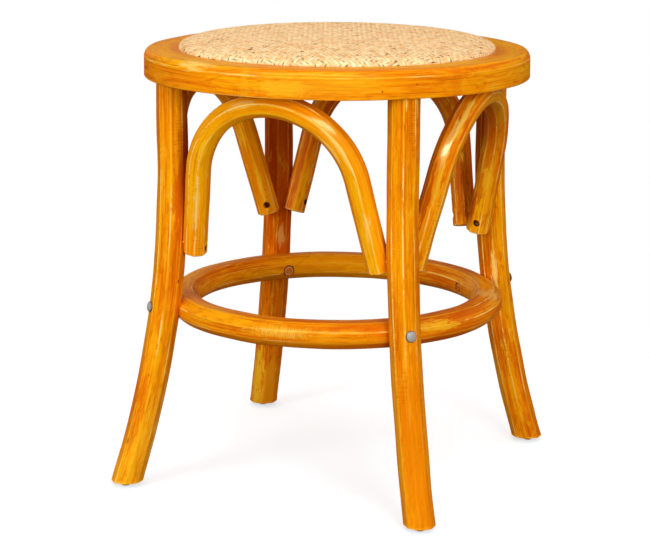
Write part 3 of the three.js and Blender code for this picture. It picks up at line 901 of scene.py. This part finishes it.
def softened(corners, radius, steps):
    # rounds every corner of a closed outline
    soft = []
    for index in range(len(corners)):
        before, here, after = (np.array(corners[(index + k) % len(corners)], float) for k in (-1, 0, 1))
        lengths = [np.linalg.norm(other - here) for other in (before, after)]
        toBefore, toAfter = (before - here) / lengths[0], (after - here) / lengths[1]
        half = math.acos(float(np.clip(toBefore @ toAfter, -1, 1))) / 2
        reach = min(radius / math.tan(half), 0.45 * min(lengths))
        start, end = here + toBefore * reach, here + toAfter * reach
        for share in np.linspace(0, 1, steps + 1):
            soft.append(tuple((1 - share) ** 2 * start + 2 * share * (1 - share) * here + share ** 2 * end))
    return soft


def makeRing():
    outer, height = ring["outerRadius"], ring["middleHeight"]
    inner = outer - ring["width"]
    low, top = height - ring["thickness"] / 2, height + ring["thickness"] / 2
    side, cut = ring["sideRound"], ring["topRound"]
    corners = [(inner + side, low), (outer - side, low), (outer, low + cut), (outer, top - cut),
               (outer - side, top), (inner + side, top), (inner, top - cut), (inner, low + cut)]
    middle = (outer + inner) / 2
    # the worn lines lie on the rounded ridges, a little inside the corners
    inset = 1 - ring["ridgeRound"] * 0.08 / math.hypot(ring["width"] / 2, ring["thickness"] / 2)
    marks = [((r - middle) * inset, height + (z - height) * inset, ring["ridgeWorn"]) for r, z in corners]
    material = stainedWood("stained_wood_ring", 47, hoop=(middle, height), marks=marks, settings=ring["finish"],
                           patches=ring["patches"])
    mesh = sweptHoop("ring", softened(corners, ring["ridgeRound"], 4), middle, ring["steps"], material)
    setPoints(mesh, handMade(pointsOf(mesh), ring["handMade"], 0.045, 47))
    cutters = [legCutter(a) for a in cornerAngles]
    tilt, legMiddle = ring["boltTilt"], float(legRadius(ring["boltHeight"]))
    fromLeg = (legMiddle - inner) / math.cos(tilt) - ring["pocketDepth"]
    for a in cornerAngles:
        outward, _ = axisFrame(a)
        facing = outward * math.cos(tilt) + vertical * math.sin(tilt)
        start = outward * legMiddle + vertical * ring["boltHeight"] - facing * fromLeg
        cutters.append(cylinderMesh(start, -facing, ring["pocketRadius"], 0.03))
    mesh = drilled(mesh, cutters)
    woodPiece("stained_ring", mesh, material, "stretcher_ring", 40, np.zeros(len(mesh.vertices)))


makeRing()
print("stretcher ring made")


# Seat: padding, backing and woven rattan

seat = {
    "coverRadius": 0.1647,
    "crown": 0.0145,
    "fullness": 3.6,
    "shoulder": 2.3,
    "domeRise": 0.0152,
    "hemBottom": 0.445,  # where the strands end, below the rim's top
    "pitch": 0.0036,
    "strandWidth": 0.0033,
    "strandThickness": 0.0009,
    "wander": 0.9,
    "turn": math.radians(23.68 + 45),
    "sheetAcross": 0.350,
    "mat": 0.0005,  # thickness of the backing
}

padding = {
    "grain": 0.005,
    "pressure": 4,
    "frames": 20,
    "furthest": 0.008,  # no point moves further than this
    "radius": 0.1624,
    "bottom": 0.44355,
    "underCrown": 0.0030,
    "felt": ((0.62, 0.55, 0.42), (0.80, 0.74, 0.62)),
}


def crownOutline(radius, rise, steps):
    # (radius, height) from the middle of the seat to its shoulder
    angles = np.linspace(quarterTurn, 0, steps + 1)
    reach = radius * np.cos(angles) ** (2 / seat["fullness"])
    reach[0] = 0
    return list(zip(reach, stool["rimTop"] + rise * np.sin(angles) ** (2 / seat["shoulder"])))


def crownHeight(flat, radius, rise):
    share = np.clip(flat / radius, 0, 1)
    return stool["rimTop"] + rise * (1 - share ** seat["fullness"]) ** (1 / seat["shoulder"])


def speckles(scale):
    return grainNoise(objectPlace(), (scale, scale, scale), 4.0, 0.5)


def feltMaterial():
    newMaterial("pad_felt")
    fibre = speckles(900.0)
    thin, thick = padding["felt"]
    return finishMaterial(fibre, 0.5, 0.0005, {"Base Color": blend(thin, fibre, thick), "Roughness": 0.95})


def settled(pad):
    # swells the pad a little by cloth simulation, without gravity
    cloth = pad.modifiers.new("cloth", "CLOTH")
    cloth.settings.use_pressure = True
    cloth.settings.uniform_pressure_force = padding["pressure"]
    cloth.settings.effector_weights.gravity = 0
    for moment in range(1, padding["frames"] + 1):
        bpy.context.scene.frame_set(moment)
    swollen = pointsOf(evaluatedMesh(pad))
    bpy.context.scene.frame_set(1)
    pad.modifiers.clear()
    return swollen


def reshaped(pad):
    # the pad as its one modifier shapes it
    pad.data = evaluatedMesh(pad)
    pad.modifiers.clear()


def makePadding():
    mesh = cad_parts["seat_padding"].data.copy()
    mergeDoubles(mesh, 1e-5)
    points = pointsOf(mesh)
    lowest = points[:, 2].min()
    points[:, :2] *= 0.985
    points[:, 2] = lowest + 0.0004 + (points[:, 2] - lowest) * 0.86
    setPoints(mesh, points)
    pad = inScene("seat_pad", mesh)
    remesh = pad.modifiers.new("remesh", "REMESH")
    remesh.mode = "VOXEL"
    remesh.voxel_size = padding["grain"]
    reshaped(pad)
    points = pointsOf(pad.data)
    move = settled(pad) - points
    length = np.linalg.norm(move, axis=1)
    points += move * np.minimum(1, padding["furthest"] / np.maximum(length, 1e-9))[:, None]
    # it stays on the board, inside the rim and under the cane
    flat = flatRadius(points)
    points[:, :2] *= np.minimum(1, padding["radius"] / np.maximum(flat, 1e-9))[:, None]
    roof = crownHeight(np.minimum(flat, padding["radius"]), seat["coverRadius"], seat["crown"]) - padding["underCrown"]
    points[:, 2] = np.clip(points[:, 2], padding["bottom"], np.maximum(roof, padding["bottom"] + 0.0005))
    setPoints(pad.data, points)
    soft = pad.modifiers.new("soft", "SUBSURF")
    soft.levels = soft.render_levels = 1
    reshaped(pad)
    smoothShade(pad.data)
    dress(pad, feltMaterial(), "seat_padding")
    return pad


rattanFinish = {
    "pale": (1.0, 0.890, 0.635),
    "honey": (0.98, 0.700, 0.375),
    "tan": (0.70, 0.425, 0.165),
    # dark spots on the strands, and painted shadow where a strand dives under the next
    "markAndShadow": (0.26, 0.110, 0.030),
    # painted shade: the dark mat under the strands stands for the shade in the gaps
    "gap": (0.26, 0.110, 0.030),
}


def rattanMaterial(name, seed=None):
    # the strands' cane, or without a seed the dark mat under them
    newMaterial(name)
    if seed is None:
        relief = grainNoise(objectPlace(), (900.0, 900.0, 900.0))
        tone = layered(rattanFinish, "gap", [(relief, "tan")])
    else:
        strand = attribute("strandPlace", "Vector") + (seed, seed, 0.0)
        relief = grainNoise(strand, (1.0, 60.0, 900.0))
        slow = grainNoise(strand, (0.73, 45.0, 0.0), 2.0)
        spots = grainNoise(strand, (0.91, 130.0, 0.0), 1.0)
        floats = grainNoise(strand + (0.37, 0.11, 0.0), (3.7, 120.0, 0.0), 1.0)
        # painted shadow where a strand dives under the next
        diveShadow = step(attribute("over"), 0.00005, -0.00030) * step(floats + spots, 0.70, 1.05)
        tone = layered(rattanFinish, "honey", [
            (step(attribute("strandTint") * 0.25 + floats * 0.9, 0.36, 0.70), "pale"),
            (step(slow, 0.45, 0.70) * 0.6, "tan"),
            (step(relief, 0.5, 0.75) * 0.25, "tan"),
            (step(spots, 0.65, 0.74) * 0.85, "markAndShadow"),
            (diveShadow * 0.95, "markAndShadow")])
    return finishMaterial(relief, 0.3, 0.0003, {
        "Base Color": tone, "Roughness": 0.55, "Specular IOR Level": 0.2, "Specular Tint": (1.0, 0.8, 0.55, 1.0)})


def weaveTree():
    # strands of a herringbone twill, laid on a dome whose outline is the host
    given = geometryTree("herringboneWeave", {
        "Pitch": "Float", "Strand Width": "Float", "Strand Thickness": "Float", "Reach": "Float", "Wander": "Float",
        "Turn": "Float", "Across": "Bool", "Lift": "Float", "Seed": "Int", "Surface": "Material"})
    pitch = given["Pitch"]
    lines = maths("CEIL", given["Reach"] / pitch) * 2.0
    start = lines * 0.5 * pitch * -1.0

    def line(axis, count, gap):
        return wire("GeometryNodeMeshLine", {
            "Count": count, "Start Location": combined(**{axis: start}), "Offset": combined(**{axis: gap})})

    def either(along, across, kind):
        # one value for the strands that run along and one for those across
        return wire("GeometryNodeSwitch", {"Switch": given["Across"], "False": along, "True": across}, input_type=kind)

    def moved(geometry, **ways):
        return wire("GeometryNodeSetPosition", {"Geometry": geometry, **ways})

    laid = wire("GeometryNodeInstanceOnPoints", {
        "Points": line("X", lines + 1.0, pitch), "Instance": line("Y", lines * 2.0 + 1.0, pitch * 0.5)})
    laid = wire("GeometryNodeRealizeInstances", {"Geometry": laid})
    place = wire("GeometryNodeInputPosition")
    x, y, _ = split(place)
    which = maths("ROUND", x / pitch)
    laid = stored(laid, "strandTint", wire("FunctionNodeRandomValue", {"ID": which, "Seed": given["Seed"]}, 1,
                                           data_type="FLOAT"))
    strandPlace = combined(X=which, Y=y, Z=x)
    laid = stored(laid, "strandPlace", strandPlace)

    # over two, under two, one strand further along each time
    crossing = either(place, combined(X=y, Y=x), "VECTOR")
    x, y, _ = split(crossing)
    away = maths("ABSOLUTE", maths("WRAP", maths("FLOORED_MODULO", (x + y) / pitch, 4.0) - 0.5, 2.0, -2.0))
    over = maths("MAXIMUM", maths("MINIMUM", (away - 1.0) * -2.0, 1.0), -1.0)
    laid = stored(laid, "over", over * either(1.0, -1.0, "FLOAT") * (given["Strand Thickness"] * 0.55))

    # a little wander sideways
    drift = (grainNoise(strandPlace, (7.3, 22.0, 0.0), 1.0, 0.5) - 0.5) * (pitch * given["Wander"])
    narrow = grainNoise(strandPlace, (3.9, 75.0, 0.0), 1.0, 0.5)
    laid = stored(laid, "girth", ranged(narrow, 0.45, 0.75, 1.0, 0.55))
    laid = moved(laid, Position=crossing, Offset=either(combined(X=drift), combined(Y=drift), "VECTOR"))
    laid = moved(laid, Position=wire("ShaderNodeVectorRotate", {"Vector": place, "Angle": given["Turn"]},
                                     rotation_type="Z_AXIS"))
    reach = maths("LENGTH", place)
    laid = wire("GeometryNodeDeleteGeometry", {
        "Geometry": laid, "Selection": maths("GREATER_THAN", reach, given["Reach"])}, domain="POINT")

    # from the flat sheet to the dome
    sample = addNode("GeometryNodeSampleCurve", {"Curves": meshToCurve(given["Geometry"]), "Length": reach},
                     mode="LENGTH")
    at, run = (split(Wire(sample.outputs[label])) for label in ("Position", "Tangent"))
    x, y, _ = split(maths("NORMALIZE", place))
    tilt = run[2] * -1.0
    laid = stored(laid, "dome", combined(X=x * at[0], Y=y * at[0], Z=at[2]))
    laid = stored(laid, "facing", combined(X=x * tilt, Y=y * tilt, Z=run[0]))
    facing = recalled("facing", "FLOAT_VECTOR")
    lifted = wire("ShaderNodeVectorMath", {0: facing, "Scale": recalled("over") + given["Lift"]}, operation="SCALE")
    laid = moved(laid, Position=recalled("dome", "FLOAT_VECTOR") + lifted)

    # each strand has a flat section
    path = wire("GeometryNodeSetCurveNormal", {"Curve": meshToCurve(laid), "Normal": facing}, mode="FREE")
    section = wire("GeometryNodeCurvePrimitiveQuadrilateral", {
        "Width": given["Strand Thickness"], "Height": given["Strand Width"]}, mode="RECTANGLE")
    return finishTree(swept(path, section, recalled("girth")), given["Surface"])


def makeWeave():
    radius = seat["coverRadius"] - 0.0012
    outline = crownOutline(radius, seat["domeRise"], 60)
    outline += [(radius, seat["hemBottom"] + rise) for rise in (0.0025, 0)]
    points = [(r, 0, z) for r, z in outline]
    reach = sum(math.dist(a, b) for a, b in zip(points, points[1:]))
    tree = weaveTree()
    strands = []
    for name, across, seed, tint in (("rattan_warp", False, 9.0, 8), ("rattan_weft", True, 3.0, 5)):
        host = newMesh(name, points, edges=[(i, i + 1) for i in range(len(points) - 1)])
        material = rattanMaterial(name, seed)
        mesh = grown(name, host, tree, {
            "Pitch": seat["pitch"], "Strand Width": seat["strandWidth"],
            "Strand Thickness": seat["strandThickness"], "Reach": reach - 0.0005, "Wander": seat["wander"],
            "Turn": seat["turn"], "Across": across, "Lift": 0.0, "Seed": tint, "Surface": material})
        print(name, len(mesh.polygons), "faces")
        strands.append(dress(inScene(name, mesh), material, "seat_cane_cover"))
    return strands


def makeBacking(strands):
    # the fine mat under the strands: a thin stretched skin that follows the crown, dark as painted shade in the gaps
    # between them
    skins = []
    for inset in (0, seat["mat"]):
        radius = seat["coverRadius"] - 0.0024 - inset
        skins.append(crownOutline(radius, seat["domeRise"] - 0.0012 - inset, 48)
                     + [(radius, seat["hemBottom"] - 0.0005)])
    mesh = turnedMesh("backing", skins[0] + skins[1][::-1], 96)
    smoothShade(mesh, 50)
    piece = dress(inScene("rattan_backing", mesh), rattanMaterial("rattan_backing"), "seat_cane_cover")


seatPad = makePadding()
print("padding made")
makeBacking(makeWeave())
print("rattan woven")


# Metal and board

def metalMaterial(name, tone, roughness, speckle):
    newMaterial(name)
    spots = speckles(1400.0)
    return finishMaterial(spots, 0.2, 0.0002, {
        "Base Color": blend(tone, spots * speckle, [v * 0.45 for v in tone]), "Metallic": 1.0,
        "Roughness": spots * 0.25 + roughness})


ringJoint = {
    "head": (0.42, 0.46, 0.52),  # dull zinc outside
    "edge": (0.12, 0.07, 0.05),  # darker round the heads' rims, and painted shade round the nuts in their pockets
    "stained": (0.62, 0.20, 0.02),  # the inner ends took the stain
    "bright": (0.90, 0.55, 0.26),  # painted highlight: a pale ring on the nuts' edges
}

plywood = {
    "early": (0.62, 0.40, 0.20),
    "late": (0.74, 0.53, 0.30),
    "pores": (0.45, 0.26, 0.12),
}


def jointMaterial():
    # coloured by how far from its bolt's axis, the same at all four legs
    newMaterial("ring_joint_metal")
    x, y, z = split(objectPlace())
    x, y = maths("ABSOLUTE", x), maths("ABSOLUTE", y)
    height, bend = ring["boltHeight"], leg["bendHeight"]
    tilt = math.atan(2 * leg["sweep"] * (bend - height) / bend ** 2)
    out = (x + y) / math.sqrt(2) - float(legRadius(height))
    off = (z - height) * math.cos(tilt) - out * math.sin(tilt)
    away = distance((x - y) / math.sqrt(2), off)
    spots = speckles(900.0)
    head = blend(ringJoint["head"], spots * 0.5, [v * 0.6 for v in ringJoint["head"]])
    # darker round each head's rim
    head = blend(head, step(away, 0.0046, 0.0058) * 0.9, ringJoint["edge"])
    # painted highlight: a pale ring on each nut's edge, broken by speckles; painted shade round the nut, in its pocket
    chamferHighlight = step(away, 0.0034, 0.0041) * step(away, 0.0054, 0.0046)
    inner = layered(ringJoint, "stained", [
        (chamferHighlight * step(spots, 0.35, 0.55), "bright"), (step(away, 0.0054, 0.0060), "edge")])
    return finishMaterial(spots, 0.2, 0.0002, {
        "Base Color": blend(inner, step(out, -0.002, 0.002), head), "Roughness": 0.42, "Specular IOR Level": 0.14})


def plywoodMaterial():
    newMaterial("board_plywood")
    place = objectPlace()
    figure = grainNoise(place, (18, 140, 300), 4.0, 0.6, 0.8)
    hair = grainNoise(place, (60, 1400, 300))
    tone = layered(plywood, "early", [(step(figure, 0.35, 0.65), "late"), (step(hair, 0.55, 0.75) * 0.4, "pores")])
    return finishMaterial(hair, 0.3, 0.0003, {"Base Color": tone, "Roughness": 0.75})


def paintNode(name, material):
    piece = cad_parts[name]
    if not piece.material_slots:
        piece.data.materials.append(material)
    for slot in piece.material_slots:
        slot.link = "OBJECT"
        slot.material = material


zinc = metalMaterial("zinc_plate", (0.86, 0.87, 0.88), 0.30, 0.4)
darkSteel = metalMaterial("dark_steel", (0.66, 0.34, 0.13), 0.5, 0.6)
jointMetal = jointMaterial()
paints = {
    "seat_board_screw": zinc, "tenon_screw": zinc, "foot_glide": zinc,
    "ring_bolt": jointMetal, "ring_washer": jointMetal, "ring_nut": jointMetal,
    "arch_top_screw": darkSteel, "arch_end_screw": darkSteel,
}
paintNode("seat_board", plywoodMaterial())
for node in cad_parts:
    for start, material in paints.items():
        if node.startswith(start):
            paintNode(node, material)
print("metal and board painted")


# Floor, light and camera

studio = {
    "sky": 0.66,  # how bright the white room is for what it lights
    "fill": (1.0, 0.62, 0.42),  # its light is warmer in the shade
    "mirrored": 0.08,  # and for what mirrors it
    "floorSize": 30.0,
    "floorSeen": (0.56, 0.75, 1.0),  # the floor's tone to the camera
    "floorDull": (0.15, 0.09, 0.055),  # and to the stool
    "floorGlow": 0.60,
    "floorFade": (0.25, 0.75),
    "aim": (0, 0, 0.25),
    # each lamp: azimuth and elevation as seen from the stool, distance, width, height, power, what it lights, tone
    "lamps": {
        "left": (-25, 15, 2.3, 0.8, 0.8, 18.0, "diffuse", (0.96, 1.0, 0.86)),
        "right": (45, 15, 2.3, 0.8, 0.8, 23.0, "diffuse", (0.96, 1.0, 0.86)),
        "top": (25, 80, 2.0, 1.6, 1.6, 7.5, "diffuse", (0.84, 1.0, 1.0)),
        "shine": (8, 40, 2.2, 2.6, 0.5, 210.0, "glossy", (1.0, 0.9, 0.7)),
        "behind": (219, 14, 2.6, 1.7, 0.7, 1.3, "glossy", (1.0, 0.85, 0.6)),
    },
}


def makeFloor():
    newMaterial("pale_floor")
    lit, dull = (wire("ShaderNodeBsdfDiffuse", {"Color": colour(studio[key])}) for key in ("floorSeen", "floorDull"))
    glow = wire("ShaderNodeEmission", {"Color": (1, 1, 1, 1), "Strength": studio["floorGlow"]})
    # away from the stool the camera sees the white room through it
    shown = wire("ShaderNodeMixShader", {
        0: step(maths("LENGTH", objectPlace()), *studio["floorFade"]),
        1: wire("ShaderNodeAddShader", {0: lit, 1: glow}), 2: wire("ShaderNodeBsdfTransparent")})
    seen = wire("ShaderNodeLightPath", output="Is Camera Ray")
    addNode("ShaderNodeOutputMaterial", {"Surface": wire("ShaderNodeMixShader", {0: seen, 1: dull, 2: shown})})
    size = studio["floorSize"]
    mesh = newMesh("floor", [(-size, -size, 0), (size, -size, 0), (size, size, 0), (-size, size, 0)], [(0, 1, 2, 3)])
    mesh.materials.append(bench["owner"])
    inScene("floor", mesh)


def directionTo(azimuth, elevation):
    # from the stool, with azimuth 0 in front of it
    return Vector((math.sin(azimuth) * math.cos(elevation), -math.cos(azimuth) * math.cos(elevation),
                   math.sin(elevation)))


def makeStudio():
    bpy.context.scene.world = bpy.data.worlds.new("studio")
    newTree(bpy.context.scene.world)
    rays = addNode("ShaderNodeLightPath").outputs
    camera, glossy, through = (Wire(rays[f"Is {kind} Ray"]) for kind in ("Camera", "Glossy", "Transmission"))
    seen = maths("MAXIMUM", camera, through)
    strength = ranged(seen, 0.0, 1.0, ranged(glossy, 0.0, 1.0, studio["sky"], studio["mirrored"]), 1.0)
    tone = blend(studio["fill"], maths("MAXIMUM", seen, glossy), (1, 1, 1))
    addNode("ShaderNodeOutputWorld", {"Surface": wire("ShaderNodeBackground", {"Color": tone, "Strength": strength})})
    for name, (azimuth, elevation, away, width, height, power, use, tone) in studio["lamps"].items():
        toward = directionTo(math.radians(azimuth), math.radians(elevation))
        data = bpy.data.lights.new(name, "AREA")
        data.shape = "RECTANGLE"
        data.size, data.size_y = width, height
        data.energy = power
        data.color = tone
        lamp = inScene(name, data)
        lamp.location = Vector(studio["aim"]) + toward * away
        lamp.rotation_euler = (-toward).to_track_quat("-Z", "Y").to_euler()
        lamp.visible_diffuse = use == "diffuse"
        lamp.visible_glossy = use == "glossy"


view = {
    "azimuth": math.radians(23.68),
    "elevation": math.radians(12.89),
    "roll": math.radians(0.4),
    "distance": 2.1953,
    "target": (0, 0, 0.20618),
    "focal": 2061.67,  # in pixels of the photograph
    "width": 650,
    "offset": (10.34, -0.5),  # pixels from the picture's middle to the target
    "sensor": 36,
}


def makeCamera():
    azimuth, roll = view["azimuth"], view["roll"]
    back = directionTo(azimuth, view["elevation"])
    right = Vector((math.cos(azimuth), math.sin(azimuth), 0))
    up = back.cross(right)
    right, up = right * math.cos(roll) + up * math.sin(roll), up * math.cos(roll) - right * math.sin(roll)
    forward = (-back * view["focal"] - right * view["offset"][0] - up * view["offset"][1]).normalized()
    side = (right - forward * right.dot(forward)).normalized()
    data = bpy.data.cameras.new("camera")
    data.sensor_width = view["sensor"]
    data.lens = view["focal"] * view["sensor"] / view["width"]
    camera = inScene("camera", data)
    turn = Matrix((side, side.cross(forward), -forward)).transposed().to_4x4()
    camera.matrix_world = Matrix.Translation(Vector(view["target"]) + back * view["distance"]) @ turn
    bpy.context.scene.camera = camera


makeFloor()
makeStudio()
makeCamera()
bpy.context.scene.view_settings.view_transform = "Standard"
print("studio set")
